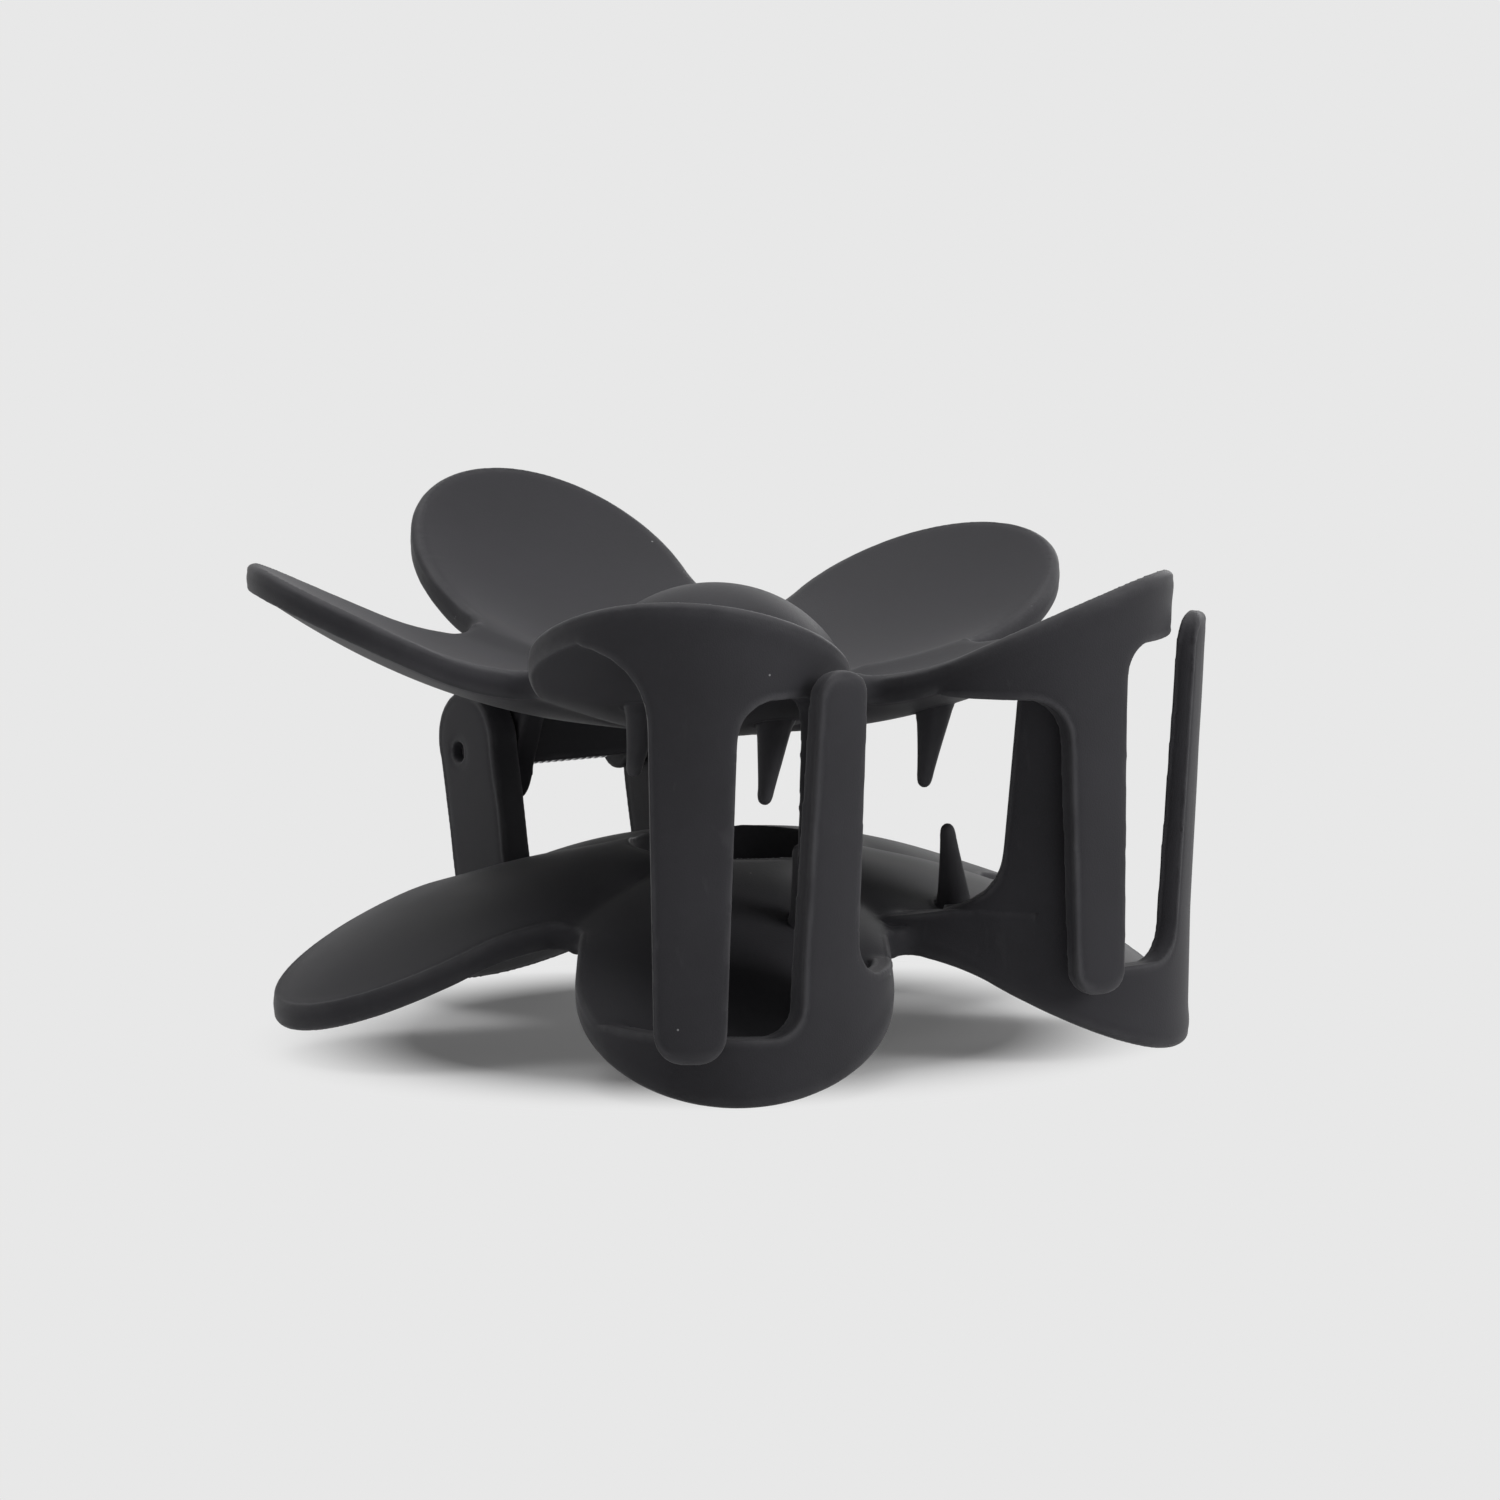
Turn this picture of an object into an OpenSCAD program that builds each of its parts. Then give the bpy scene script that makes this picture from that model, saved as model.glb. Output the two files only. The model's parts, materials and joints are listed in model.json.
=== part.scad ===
// Flower claw clip: two five-petal jaws, face to back, on a sprung hinge.
// The clip lies on one flower. X runs along the hinge pin, Y from the claws to the press petals.
// Each jaw is drawn as the upper one, with the plane between the flowers at Z = 0.
// The lower jaw is the same flower turned half round the Y axis, with its own prongs and hinge lugs.

/* [Flower] */
// Distance from the flower's centre to a petal tip
flower_r = 40.7; // [39.5:0.1:42]
// Radius of a petal's round outline
petal_r = 13.2; // [12.8:0.1:13.6]
// Radius of the round in the notch between two petals
notch_r = 2; // [1.6:0.1:2.4]
// Thickness of a petal, measured upright
petal_t = 2.5; // [2.2:0.1:2.8]
// How far the round of the rim reaches in from the outline
rim_round = 0.9; // [0.6:0.1:1.3]
// Height of the rim at the tip of a plain petal
plain_tip_z = 19.6; // [17:0.1:21]
// Height of the rim at the tip of a claw petal
claw_tip_z = 20.5; // [19:0.1:22]
// Height of the rim at the tip of the press petal
press_tip_z = 23.8; // [22:0.1:26]
// Height of the hub's top face
hub_z = 7.4; // [6.8:0.1:7.8]
// How late a petal turns up towards its tip
dish_power = 2.3; // [1.8:0.1:2.8]
// Height of the dome at the flower's centre
dome_z = 17.3; // [14:0.1:18]
// Radius of the dome at its foot
dome_r = 11.5; // [10:0.1:12]
// Wall of the hollow dome
dome_wall = 2.6; // [2:0.1:3.5]

/* [Stagger of the two flowers] */
// Turn of each flower about its own axis
stagger_turn = 2.4; // [2.2:0.1:2.6]
// Sideways shift of each flower
stagger_shift = 1; // [0.9:0.05:1.2]

/* [Claws] */
// Thickness of the wall under a claw petal's rim
wall_t = 1.8; // [1.6:0.1:1.9]
// Step from the rim's outline in to the wall
wall_inset = 0.2; // [0.1:0.05:0.3]
// Width of a front prong at the wall
front_root_w = 7.1; // [6:0.1:7.4]
// Width of a front prong at its tip
front_tip_w = 5.8; // [4.8:0.1:6]
// Width of a side prong at the wall
side_root_w = 5.7; // [5.4:0.1:6.2]
// Width of a side prong at its tip
side_tip_w = 4.8; // [4.6:0.1:5.2]
// Width of an inner prong at the wall
inner_root_w = 6.8; // [6:0.1:7]
// Width of an inner prong at its tip
inner_tip_w = 3.8; // [3.4:0.1:4.2]
// Thickness of a prong at its tip
prong_tip_t = 1.6; // [1.4:0.1:1.7]
// Radius of the corners of a prong's tip
prong_tip_round = 2.6; // [2:0.1:2.8]
// Outward lean of the upper jaw's front prong, which closes outside the lower jaw
upper_front_lean = 1.3; // [1.3:0.05:1.6]
// Outward lean of the lower jaw's front prong, which closes outside the upper jaw
lower_front_lean = 0.8; // [0.7:0.05:1.2]
// Outward lean of a side prong, which closes outside the other jaw
side_lean = 1.2; // [1.2:0.05:1.5]
// Inward lean of an inner prong, which closes inside the other jaw
inner_lean = 1.6; // [1.5:0.05:2]
// Step in from the wall to the inner prong
inner_step = 0.15; // [0.1:0.05:0.3]
// Gap between the inner prong's tip and the other jaw's petal
inner_tip_gap = 0.9; // [0.8:0.1:2]
// Length of a short tooth below the petal
tooth_l = 6.7; // [5.6:0.1:7]
// Width of a short tooth at its root
tooth_root_w = 3.2; // [2.4:0.1:3.6]
// Width of a short tooth at its tip
tooth_tip_w = 1.3; // [1:0.1:1.6]

/* [Hinge] */
// Distance from the flower's centre to the hinge axis
hinge_y = 26.1; // [25.5:0.1:27]
// Diameter of the hinge pin
pin_d = 1.8; // [1.6:0.1:2.2]
// Width over the outer lugs
lugs_w = 22; // [21:0.2:24]
// Thickness of an outer lug
outer_lug_t = 2.8; // [2.4:0.1:3.2]
// Thickness of an inner lug
inner_lug_t = 2.4; // [2:0.1:2.6]
// Gap between an outer and an inner lug
lug_gap = 0.3; // [0.25:0.05:0.5]
// Radius of an outer lug's round end
outer_lug_r = 4.6; // [4.2:0.1:5]
// Radius of the longer inner lug's round end
inner_lug_r = 3.6; // [3.2:0.1:4]
// Radius of the shorter inner lug's round end
short_lug_r = 2.6; // [2.4:0.1:3]
// How far the pin's ends lie inside the outer lugs
pin_recess = 0.9; // [0.3:0.1:1.2]
// Radial clearance of the pin in the lugs that hold it
pin_seat_gap = 0.01; // [0.01:0.01:0.02]
// Radial clearance of the pin in the lugs that turn on it
pin_run_gap = 0.05; // [0.03:0.01:0.09]
// Thickness of the shield between the inner lugs, which keeps hair off the spring
shield_t = 1.2; // [1:0.1:1.4]
// How far the shield reaches past the pin's axis
shield_drop = 0.9; // [0.2:0.1:1]
// Gap between the shield and the curls
shield_gap = 0.9; // [0.6:0.1:1]

/* [Spring] */
// Diameter of the spring wire
wire_d = 0.62; // [0.5:0.02:0.8]
// Gap between two curls
curl_gap = 0.48; // [0.44:0.02:0.6]
// Number of curls
curls = 8; // [5:1:8]
// Gap between the pin and the curls
coil_gap = 0.15; // [0.15:0.05:0.4]
// Gap between the end of a spring leg and the press petal
leg_gap = 0.3; // [0.2:0.05:0.5]
// Angle of a spring leg from the mid plane
leg_angle = 65; // [60:1:75]

/* [Hidden] */
$fn = 48;

// Petals in turn: press, plain, front claw, side claw, plain
petal_turn = 360 / 5;
function petal_spin(i) = 90 + petal_turn * i;
tip_z = [press_tip_z, plain_tip_z, claw_tip_z, claw_tip_z, plain_tip_z];
front_claw = 2;
side_claw = 3;
petal_c = flower_r - petal_r;
rim_r = flower_r - rim_round;

// A petal's round ends in straight flanks, and the notch round touches the flanks of two petals
flank_turn = 92;
flank_way = [cos(flank_turn), sin(flank_turn)];
notch_d = (petal_c * flank_way.x + petal_r + notch_r) / cos(flank_turn - petal_turn / 2);
notch_c = notch_d * [cos(petal_turn / 2), sin(petal_turn / 2)];
flank_start = [petal_c, 0] + petal_r * flank_way;
flank_end = notch_c - notch_r * flank_way;

// Points round the outline of one petal, along one flank and round one notch
petal_steps = 14;
flank_steps = 2;
notch_steps = 4;
column_count = 5 * (petal_steps + 2 * flank_steps + notch_steps);

// Rings of the dome as shares of its foot, and rings of the petals from there to the rim
dome_rings = [0.3, 0.55, 0.75, 0.9, 1];
dish_rings = [0.12, 0.35, 0.55, 0.75, 0.9, 1];
rim_rings = [45, 0, -45];
rim_square = 0.6;
foot_blend = 1.6;

// Hinge values shared by the lugs, the pin and the spring
pin_r = pin_d / 2;
outer_lug_x = lugs_w / 2 - outer_lug_t;
inner_lug_x = outer_lug_x - lug_gap - inner_lug_t;
lug_root_back = 0.1;
lug_root_l = 8.4;
lug_back_y = hinge_y + lug_root_back;
lug_front_y = lug_back_y - lug_root_l;

// Centres of the lugs' round ends, in Y and Z, a little in front of the pin and beyond it
outer_lug_c = [hinge_y - 1.1, -1];
inner_lug_c = [hinge_y - 0.5, -1.2];
short_lug_c = [hinge_y - 0.3, -0.1];

// Spring values
coil_r = pin_r + coil_gap + wire_d / 2;
curl_pitch = wire_d + curl_gap;
leg_start = 270 - leg_angle;
leg_sweep = 2 * leg_start - 360;

// The coil has as many of its curls as the room between the inner lugs takes
coil_end_gap = 0.3;
coil_room = 2 * (inner_lug_x - coil_end_gap) - wire_d;
room_curls = floor(coil_room / curl_pitch - leg_sweep / 360);
coil_sweep = leg_sweep + 360 * min(curls, room_curls);
coil_half = curl_pitch * coil_sweep / 720;
curl_rings = 8;
tube_sides = 6;

// One point of a petal's outline, as [plan point, outward normal, height of the petal's tip]
function petal_point(i, t) =
  let (spin = petal_spin(i))
  [turned([petal_c + petal_r * cos(t), petal_r * sin(t)], spin),
   [cos(t + spin), sin(t + spin)],
   tip_z[i]];

// One point of a petal's flank, u running from 0 at the petal's round to 1 at the notch, on one side or the other
function flank_point(i, u, side) =
  let (spin = petal_spin(i))
  let (p = flank_start + (flank_end - flank_start) * u)
  [turned([p.x, side * p.y], spin),
   [cos(spin + side * flank_turn), sin(spin + side * flank_turn)],
   tip_z[i]];

// One point of the notch after petal i, w running from 0 at that petal to 1 at the next
function notch_point(i, w) =
  let (spin = petal_spin(i))
  let (mid = petal_turn / 2 + 180)
  let (half = flank_turn + 180 - mid)
  let (a = mid + half * (1 - 2 * w))
  let (eased = w * w * (3 - 2 * w))
  [turned(notch_c + notch_r * [cos(a), sin(a)], spin),
   -[cos(a + spin), sin(a + spin)],
   tip_z[i] + (tip_z[(i + 1) % 5] - tip_z[i]) * eased];

function turned(p, a) = [p.x * cos(a) - p.y * sin(a), p.x * sin(a) + p.y * cos(a)];

outline = [
  for (i = [0 : 4]) each concat(
    [for (k = [0 : petal_steps]) petal_point(i, flank_turn * (2 * k / petal_steps - 1))],
    [for (k = [1 : flank_steps]) flank_point(i, k / flank_steps, 1)],
    [for (k = [1 : notch_steps - 1]) notch_point(i, k / notch_steps)],
    [for (k = [flank_steps : -1 : 1]) flank_point((i + 1) % 5, k / flank_steps, -1)])
];

// The flower is one turned bowl: its height at radius r, on a ray towards a petal tip of that height
function dish_z(r, tip) = hub_z + (tip - hub_z) * pow(r / rim_r, dish_power);

// A round cap of a foot radius and a height, at radius r
function cap_z(r, foot, height) = height * sqrt(max(0, 1 - pow(r / foot, 2)));

// The top is the dish or the dome, whichever is higher, with a soft foot where they meet
function soft_max(a, b) = (a + b + sqrt((a - b) * (a - b) + foot_blend * foot_blend)) / 2;
function top_z(r, tip) = soft_max(dish_z(r, tip), hub_z + cap_z(r, dome_r, dome_z - hub_z));

// The underside follows the dish, and is cored out below the dome
core_r = dome_r - dome_wall;
core_h = (dome_z - hub_z) * core_r / dome_r;
function under_z(r, tip) = dish_z(r, tip) - petal_t + cap_z(r, core_r, core_h);

// The place on the clip of a point of the upper flower
function flower_place(p) = concat(turned([p.x, p.y], -stagger_turn) - [stagger_shift, 0], [p.z]);

// The underside of petal i at a place along the petal and across it
function under_at(i, along, across) = under_z(norm([along, across]), tip_z[i]);

// The underside of the press petal at a place on the clip
function press_under(x, y) =
  let (p = turned([x + stagger_shift, y], stagger_turn))
  under_at(0, p.y, p.x);

// Heights of the wall's lower edge along the claw petals
front_edge_z = 16.5;
arch_edge_z = 12.5;
valley_edge_z = 7.6;
side_edge_z = 10.6;
tip_edge_z = 14.8;
wall_r = petal_r - wall_inset;
skirt_top_z = claw_tip_z;

// Heights between which the prongs lean
lean_start_z = 9;
lean_end_z = -17.5;

// An inner prong ends above the inside of the other jaw's petal: the place of its tip on its own jaw,
// and the height of the other jaw's side claw petal there
function inner_foot(turn) =
  let (reach = wall_r - inner_lean - prong_tip_t)
  flower_place(concat(turned([petal_c, 0] + reach * [cos(turn), sin(turn)], petal_spin(front_claw)), [0]));
function inner_tip_z(turn) =
  let (foot = inner_foot(turn))
  let (facing = turned([stagger_shift - foot.x, foot.y], stagger_turn - petal_spin(side_claw)))
  inner_tip_gap - under_at(side_claw, facing.x, facing.y);

// Turns of the prongs round their petals, so that those of each jaw stand in the other jaw's spaces
upper_front_turn = 6;
lower_front_turn = -5;
inner_turn = 76;
side_turn = -37.5;

// Heights of the prong tips that close outside the other jaw
front_prong_z = -16.6;
upper_side_prong_z = -14.2;
lower_side_prong_z = -14.8;

// Edges beside each prong: [radius of the fillet, height of the wall's edge that it runs up to]
front_edges = [[6, front_edge_z], [3.2, arch_edge_z]];
inner_edges = [[2.4, arch_edge_z], [5, valley_edge_z]];
side_edges = [[3.4, side_edge_z], [2.6, tip_edge_z]];

// How far a fillet runs up into the wall, and a prong's ring past its tip, so that they cross
fillet_lap = 0.06;

// Rounds of a prong's tip: the most of its width, and the outer and inner round across its thickness
tip_round_share = 0.46;
tip_outer_round = 1;
tip_inner_round = 0.5;

// Claw prongs: [petal, turn round the petal, tip height, root width, tip width, lean, left edge, right edge]
function front_prong(turn, lean) =
  concat([front_claw, turn, front_prong_z, front_root_w, front_tip_w, lean], front_edges);
inner_prong =
  concat([front_claw, inner_turn, inner_tip_z(inner_turn), inner_root_w, inner_tip_w, -inner_lean], inner_edges);
function side_prong(tip) =
  concat([side_claw, side_turn, tip, side_root_w, side_tip_w, side_lean], side_edges);

upper_prongs = [front_prong(upper_front_turn, upper_front_lean), inner_prong, side_prong(upper_side_prong_z)];
lower_prongs = [front_prong(lower_front_turn, lower_front_lean), inner_prong, side_prong(lower_side_prong_z)];

// Walls under the rim, from prong to prong: [petal, first turn, last turn, lower edge]
wall_end = 100;
tip_wall_end = 66;
function walls(prongs) = [
  [front_claw, prongs[0][1], prongs[1][1], arch_edge_z],
  [front_claw, prongs[1][1], wall_end, valley_edge_z],
  [side_claw, -wall_end, prongs[2][1], side_edge_z],
  [side_claw, prongs[2][1], tip_wall_end, tip_edge_z]
];

// The wall in the valley between the claw petals runs on along the flank until the flower's underside meets it
flank_wall_l = 12;
flank_wall_back = 1.2;

// Short teeth: [petal, place along the petal, place across it, extra length]
upper_teeth = [[front_claw, 20.4, 6.6, 0], [side_claw, 21.9, -4.5, 0], [front_claw, 26, -3.8, -1.1]];
lower_teeth = [[front_claw, 21.9, 6.6, 0.5], [side_claw, 21.9, -6.1, 0], [front_claw, 26, -3.8, -1.1]];
tooth_embed = petal_t * 0.45;

// Height of a lug's root: half way between the underside and the top, over the width of all the lugs
function lug_root_z(y) =
  let (under = [for (x = [lugs_w / 2, inner_lug_x]) each [press_under(x, y), press_under(-x, y)]])
  (min(under) + petal_t + max(under)) / 2;

// The rim's section is an ellipse with fuller corners, so that the petal's edge reads as a flat band
function squared(v) = sign(v) * pow(abs(v), rim_square);

// The column of points above and below one outline point, from the dome's foot out and back in
function column(o) =
  let (edge = o[0] - rim_round * o[1])
  let (reach = norm(edge))
  let (ray = edge / reach)
  let (tip = o[2])
  let (mid_z = dish_z(reach, tip) - petal_t / 2)
  let (radii = concat(dome_r * dome_rings, [for (g = dish_rings) dome_r + (reach - dome_r) * g]))
  let (cored = concat(core_r * dome_rings, [for (g = dish_rings) core_r + (reach - core_r) * g]))
  let (last = len(radii) - 1)
  concat(
    [for (r = radii) [ray.x * r, ray.y * r, top_z(r, tip)]],
    [for (a = rim_rings)
      let (p = edge + rim_round * squared(cos(a)) * o[1])
      [p.x, p.y, mid_z + petal_t / 2 * squared(sin(a))]],
    [for (k = [last : -1 : 0]) [ray.x * cored[k], ray.y * cored[k], under_z(cored[k], tip)]]);

columns = [for (o = outline) column(o)];
ring_count = len(columns[0]);

// Resting place: the lower flower's press tip and claw tips touch the floor
function jaw_tip(i) = flower_place(concat(
  turned([rim_r, 0], petal_spin(i)), [tip_z[i]]));
claw_rest = (jaw_tip(front_claw) + jaw_tip(side_claw)) / 2;
press_rest = jaw_tip(0);
rest_tilt = atan2(press_rest.z - claw_rest.z, press_rest.y - claw_rest.y);
function rest_y(p) = p.y * cos(rest_tilt) + p.z * sin(rest_tilt);
function rest_z(p) = p.y * sin(rest_tilt) - p.z * cos(rest_tilt);
rim_points = [for (c = columns) for (p = c) flower_place(p)];
rest_lift = -min([for (p = rim_points) rest_z(p)]);
back_y = max([for (p = rim_points) rest_y(p)]);
side_spin = petal_spin(side_claw) - stagger_turn;
side_tip_z = upper_prongs[2][2];
side_out = side_lean * (lean_start_z - side_tip_z) / (lean_start_z - lean_end_z);
front_y = petal_c * sin(side_spin) - wall_r - side_out;
front_rest_y = front_y * cos(rest_tilt) + side_tip_z * sin(rest_tilt);
rest_mid_y = (back_y + front_rest_y) / 2;

module placed() {
  translate([0, -rest_mid_y, rest_lift])
    rotate([rest_tilt, 0, 0])
      children();
}

// Flower

module flower() {
  centre_top = [[0, 0, top_z(0, plain_tip_z)]];
  centre_under = [[0, 0, under_z(0, plain_tip_z)]];
  points = concat([for (c = columns) each c], centre_top, centre_under);
  n = ring_count;
  crown = column_count * n;
  polyhedron(points, [
    for (i = [0 : column_count - 1])
      let (a = i * n)
      let (b = ((i + 1) % column_count) * n)
      each concat(
        [[crown, b, a], [crown + 1, a + n - 1, b + n - 1]],
        [for (k = [0 : n - 2]) each [[a + k, b + k, b + k + 1], [a + k, b + k + 1, a + k + 1]]])
  ]);
}

// Claw walls and prongs

module at_petal(i) {
  rotate(petal_spin(i))
    translate([petal_c, 0, 0])
      children();
}

// A drawing of width and height, pushed out from the petal's centre through its wall
module through_wall(turn) {
  rotate(turn)
    translate([petal_r / 3, 0, 0])
      rotate([90, 0, 90])
        linear_extrude(petal_r)
          children();
}

function arc(c, r, from, to) =
  let (steps = 6)
  [for (k = [0 : steps]) let (a = from + (to - from) * k / steps) c + r * [cos(a), sin(a)]];

// The ring that a petal's wall and prong are cut from, upright above, leaning below and round at the tip
module claw_ring(outer_r, lean, tip) {
  end_z = tip - fillet_lap;
  end_r = outer_r + lean * (lean_start_z - end_z) / (lean_start_z - lean_end_z);
  inner_c = [end_r - prong_tip_t + tip_inner_round, end_z + tip_inner_round];
  outer_c = [end_r - tip_outer_round, end_z + tip_outer_round];
  rotate_extrude($fn = 96)
    polygon(concat(
      [[outer_r, skirt_top_z], [outer_r - wall_t, skirt_top_z], [outer_r - wall_t, lean_start_z]],
      arc(inner_c, tip_inner_round, 180, 270),
      arc(outer_c, tip_outer_round, 270, 360),
      [[outer_r, lean_start_z]]));
}

// Everything below the middle of a claw petal's rim
module below_rim() {
  root_z = dish_z(norm([petal_c, petal_r - rim_round]), claw_tip_z) - petal_t / 2;
  rise = (claw_tip_z - petal_t / 2 - root_z) / petal_r;
  reach = 2 * petal_r;
  rotate([90, 0, 0])
    linear_extrude(2 * reach, center = true)
      polygon([
        [-reach, root_z - rise * reach],
        [reach, root_z + rise * reach],
        [reach, -reach],
        [-reach, -reach]
      ]);
}

module wall_span(first, last, edge_z) {
  steps = 6;
  fan = [for (k = [0 : steps]) let (a = first + (last - first) * k / steps) 2 * petal_r * [cos(a), sin(a)]];
  translate([0, 0, edge_z])
    linear_extrude(skirt_top_z - edge_z)
      polygon(concat([[0, 0]], fan));
}

// Half width of a prong at a height
function prong_half(p, z) =
  let (share = (lean_start_z - z) / (lean_start_z - p[2]))
  (p[3] + (p[4] - p[3]) * share) / 2;

// A prong seen square on: fillets up to the wall's edges, tapered sides and a round-cornered tip
module prong_outline(p) {
  r = min(prong_tip_round, tip_round_share * p[4]);
  round_z = p[2] + r;
  tip_half = prong_half(p, round_z);
  left_r = p[6][0];
  left_z = p[6][1] + fillet_lap - left_r;
  left_c = [-prong_half(p, left_z) - left_r, left_z];
  right_r = p[7][0];
  right_z = p[7][1] + fillet_lap - right_r;
  right_c = [prong_half(p, right_z) + right_r, right_z];
  polygon(concat(
    [[left_c.x, skirt_top_z]],
    arc(left_c, left_r, 90, 0),
    arc([r - tip_half, round_z], r, 180, 270),
    arc([tip_half - r, round_z], r, 270, 360),
    arc(right_c, right_r, 180, 90),
    [[right_c.x, skirt_top_z]]));
}

// The walls of one claw petal, with the prong that closes outside the other jaw
module claw_skirt(p, prongs) {
  at_petal(p[0])
    intersection() {
      claw_ring(wall_r, p[5], p[2]);
      below_rim();
      union() {
        for (w = walls(prongs))
          if (w[0] == p[0])
            wall_span(w[1], w[2], w[3]);
        through_wall(p[1])
          prong_outline(p);
      }
    }
}

// The prong that closes inside the other jaw, set in a little from the wall
module tucked_prong(p) {
  at_petal(p[0])
    intersection() {
      claw_ring(wall_r - inner_step, p[5], p[2]);
      below_rim();
      through_wall(p[1])
        prong_outline(p);
    }
}

// The straight wall along the front claw petal's flank
module flank_wall() {
  at_petal(front_claw)
    intersection() {
      rotate(flank_turn)
        translate([wall_r - wall_t - fillet_lap, -flank_wall_back, valley_edge_z + fillet_lap])
          cube([wall_t, flank_wall_back + flank_wall_l, skirt_top_z - valley_edge_z]);
      below_rim();
    }
}

// Short teeth: a peg with one upright side, which faces -X on the clip in both jaws

module short_tooth(length, side) {
  root_r = tooth_root_w / 2;
  tip_r = tooth_tip_w / 2;
  hull() {
    cylinder(h = tooth_embed, r = root_r, $fn = 24);
    translate([side * (root_r - tip_r), 0, tip_r - length])
      sphere(tip_r, $fn = 16);
  }
}

module short_teeth(teeth, side) {
  for (g = teeth) {
    place = turned([g[1], g[2]], petal_spin(g[0]));
    translate([place.x, place.y, under_at(g[0], g[1], g[2])])
      short_tooth(tooth_l + g[3], side);
  }
}

module staggered() {
  translate([-stagger_shift, 0, 0])
    rotate(-stagger_turn)
      children();
}

module jaw_shell(prongs, teeth, side) {
  staggered() {
    flower();
    claw_skirt(prongs[0], prongs);
    claw_skirt(prongs[2], prongs);
    tucked_prong(prongs[1]);
    flank_wall();
    short_teeth(teeth, side);
  }
}

// Hinge

// A lug from the flower's underside down past the pin, its near face at x and its round end at c
module lug(x, thickness, c, r) {
  translate([x, 0, 0])
    rotate([90, 0, 90])
      linear_extrude(thickness) {
        translate(c)
          circle(r);
        polygon([
          [c.x - r, c.y],
          [c.x + r, c.y],
          [lug_back_y, lug_root_z(lug_back_y)],
          [lug_front_y, lug_root_z(lug_front_y)]
        ]);
      }
}

// A plate across the inner lugs, on the hair's side of the spring
module shield() {
  y = hinge_y - coil_r - wire_d / 2 - shield_gap - shield_t;
  half_w = inner_lug_x + inner_lug_t / 2;
  translate([-half_w, y, -shield_drop])
    cube([2 * half_w, shield_t, press_under(0, y) + petal_t / 2 + shield_drop]);
}

module along_hinge(length) {
  translate([-length / 2, hinge_y, 0])
    rotate([0, 90, 0])
      children();
}

module upper_jaw() {
  color("#3c3a3e")
    placed()
      difference() {
        union() {
          jaw_shell(upper_prongs, upper_teeth, -1);
          lug(-inner_lug_x - inner_lug_t, inner_lug_t, inner_lug_c, inner_lug_r);
          lug(inner_lug_x, inner_lug_t, short_lug_c, short_lug_r);
          shield();
        }
        along_hinge(lugs_w)
          cylinder(h = lugs_w, r = pin_r + pin_run_gap);
      }
}

module lower_jaw() {
  color("#39373b")
    placed()
      rotate([0, 180, 0])
        difference() {
          union() {
            jaw_shell(lower_prongs, lower_teeth, 1);
            for (x = [outer_lug_x, -outer_lug_x - outer_lug_t])
              lug(x, outer_lug_t, outer_lug_c, outer_lug_r);
          }
          along_hinge(2 * lugs_w)
            cylinder(h = 2 * lugs_w, r = pin_r + pin_seat_gap);
        }
}

module hinge_pin() {
  length = lugs_w - 2 * pin_recess;
  color("#8f9194")
    placed()
      along_hinge(length)
        cylinder(h = length, r = pin_r);
}

// Spring: curls round the pin, with a straight leg to each press petal

function curl_point(share) =
  let (a = leg_start - coil_sweep * share)
  [coil_half * (2 * share - 1), hinge_y + coil_r * cos(a), coil_r * sin(a)];

coil_steps = ceil(curl_rings * coil_sweep / 360);
leg_steps = 3;
leg_way = [0, cos(leg_angle), sin(leg_angle)];
first_leg_l = 10;
leg_tries = 12;

// Length of a leg that ends just under the press petal, found by trying again from the last length
function leg_fit(length, tries) =
  let (end = curl_point(1) + length * leg_way)
  let (room = press_under(end.x, end.y) - leg_gap - wire_d / 2 - end.z)
  tries == 0 ? length : leg_fit(length + room, tries - 1);
leg_l = leg_fit(first_leg_l, leg_tries);
echo(leg_length = leg_l);

wire_path = concat(
  [for (k = [leg_steps : -1 : 1]) curl_point(0) + leg_l * k / leg_steps * [0, leg_way.y, -leg_way.z]],
  [for (k = [0 : coil_steps]) curl_point(k / coil_steps)],
  [for (k = [1 : leg_steps]) curl_point(1) + leg_l * k / leg_steps * leg_way]);

wire_gap = min([
  for (i = [0 : len(wire_path) - 1])
    for (j = [i + curl_rings - 2 : 1 : len(wire_path) - 1])
      norm(wire_path[i] - wire_path[j])
]) - wire_d;
echo(least_gap_between_curls = wire_gap);

function wire_ring(k) =
  let (before = wire_path[max(0, k - 1)])
  let (after = wire_path[min(len(wire_path) - 1, k + 1)])
  let (way = (after - before) / norm(after - before))
  let (out = cross(way, [1, 0, 0]) / norm(cross(way, [1, 0, 0])))
  let (side = cross(way, out))
  [for (m = [0 : tube_sides - 1])
    let (a = 360 * m / tube_sides)
    wire_path[k] + wire_d / 2 * (out * cos(a) + side * sin(a))];

module torsion_spring() {
  rings = len(wire_path);
  n = tube_sides;
  points = concat(
    [for (k = [0 : rings - 1]) each wire_ring(k)],
    [wire_path[0], wire_path[rings - 1]]);
  color("#b4b6b9")
    placed()
      polyhedron(points, concat(
        [for (k = [0 : rings - 2]) for (m = [0 : n - 1])
          let (a = k * n + m)
          let (b = k * n + (m + 1) % n)
          each [[a, a + n, b + n], [a, b + n, b]]],
        [for (m = [0 : n - 1]) [rings * n, m, (m + 1) % n]],
        [for (m = [0 : n - 1]) [rings * n + 1, (rings - 1) * n + (m + 1) % n, (rings - 1) * n + m]]));
}

upper_jaw();
lower_jaw();
hinge_pin();
torsion_spring();
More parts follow.
